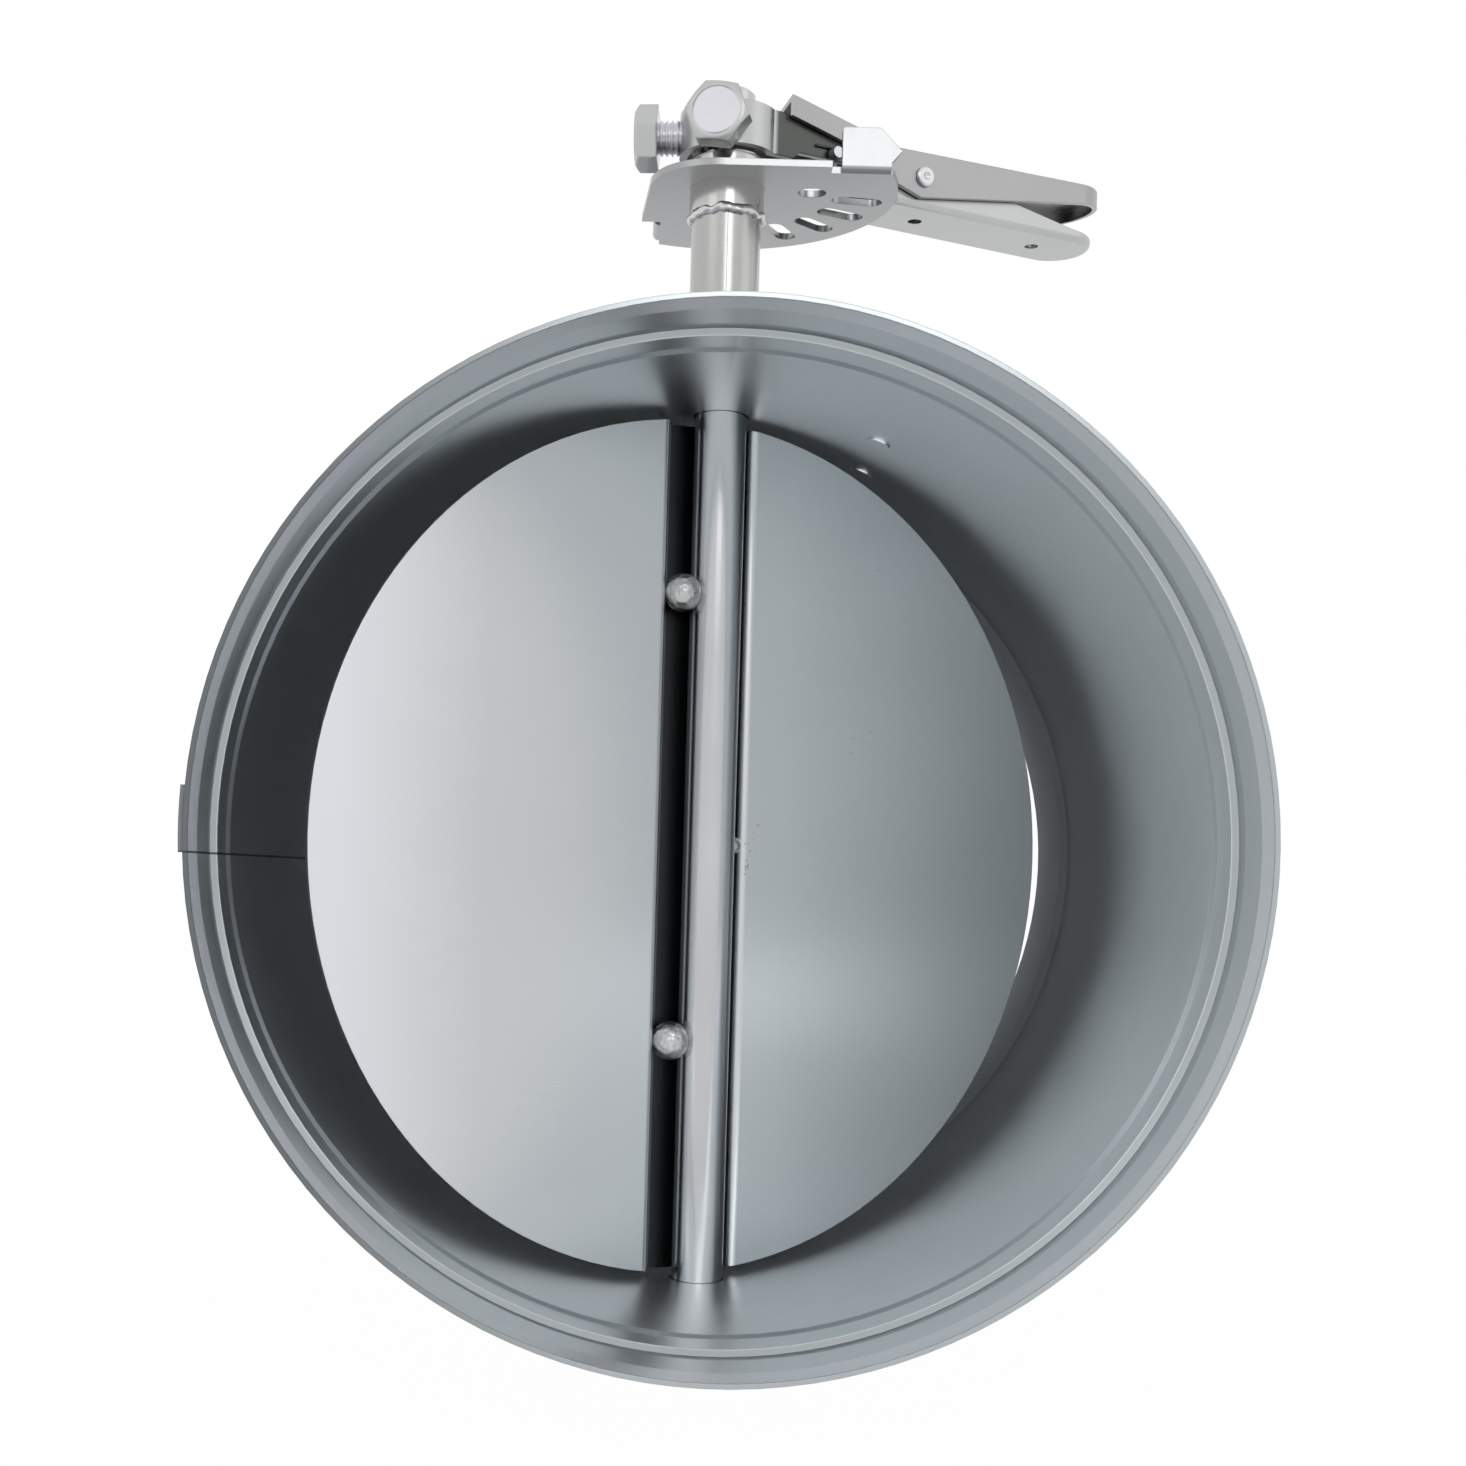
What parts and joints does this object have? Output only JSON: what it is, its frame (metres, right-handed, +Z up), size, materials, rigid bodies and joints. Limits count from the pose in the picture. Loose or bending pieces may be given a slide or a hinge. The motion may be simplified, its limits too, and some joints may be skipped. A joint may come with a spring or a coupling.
{
  "type": "stovepipe damper",
  "caption": "Round flue pipe section with a throttle disc on a cross shaft, set by a squeeze handle whose tooth locks in a slotted quadrant plate.",
  "frame": {"origin": "where the pipe axis meets the shaft axis", "axes": "+Z up along the shaft towards the handle, +Y along the pipe from the socket end to the spigot end, +X to the right seen from the socket end"},
  "size_m": [0.2064, 0.19, 0.2878],
  "materials": {
    "galvanised_sheet": "galvanised, satin",
    "weld_metal": "rough weld bead",
    "disc_sheet": "smooth rolled sheet",
    "zinc_tube": "bright zinc plated",
    "shaft_steel": "bright drawn",
    "zinc_plate": "bright zinc plated",
    "zinc_lever": "satin zinc plated",
    "zinc_fastener": "bright zinc plated",
    "spring_steel": "drawn wire"
  },
  "bodies": {
    "root": {"duct_shell": "galvanised_sheet", "lap_seam": "galvanised_sheet", "spot_weld_marks": "galvanised_sheet", "shaft_sleeve": "zinc_tube", "sleeve_weld": "weld_metal", "bearing_bush": "zinc_tube", "bush_weld": "weld_metal", "lower_bearing_cup": "zinc_tube", "cup_weld": "weld_metal", "quadrant_plate": "zinc_plate"},
    "shaft_group": {"shaft": "shaft_steel", "throttle_disc": "disc_sheet", "left_tack_welds": "weld_metal", "right_tack_weld": "weld_metal", "handle_lever": "zinc_lever", "pivot_rivet": "zinc_fastener", "spring_pin": "zinc_fastener", "return_spring": "spring_steel", "front_set_bolt": "zinc_fastener", "side_set_bolt": "zinc_fastener"},
    "trigger_group": {"trigger_lever": "zinc_lever", "locking_tooth": "zinc_lever"}
  },
  "joints": [
    {"name": "damper_turn", "type": "hinge", "parent": "root", "child": "shaft_group", "pos_m": [0, 0, 0.15], "axis": [0, 0, 1], "range_deg": [-17.8, 53.4]},
    {"name": "trigger_squeeze", "type": "hinge", "parent": "shaft_group", "child": "trigger_group", "pos_m": [0.04278, 0.02133, 0.1612], "axis": [-0.4462, 0.8949, 0], "range_deg": [-4, 5], "stiffness_Nm_per_rad": 0.5}
  ]
}
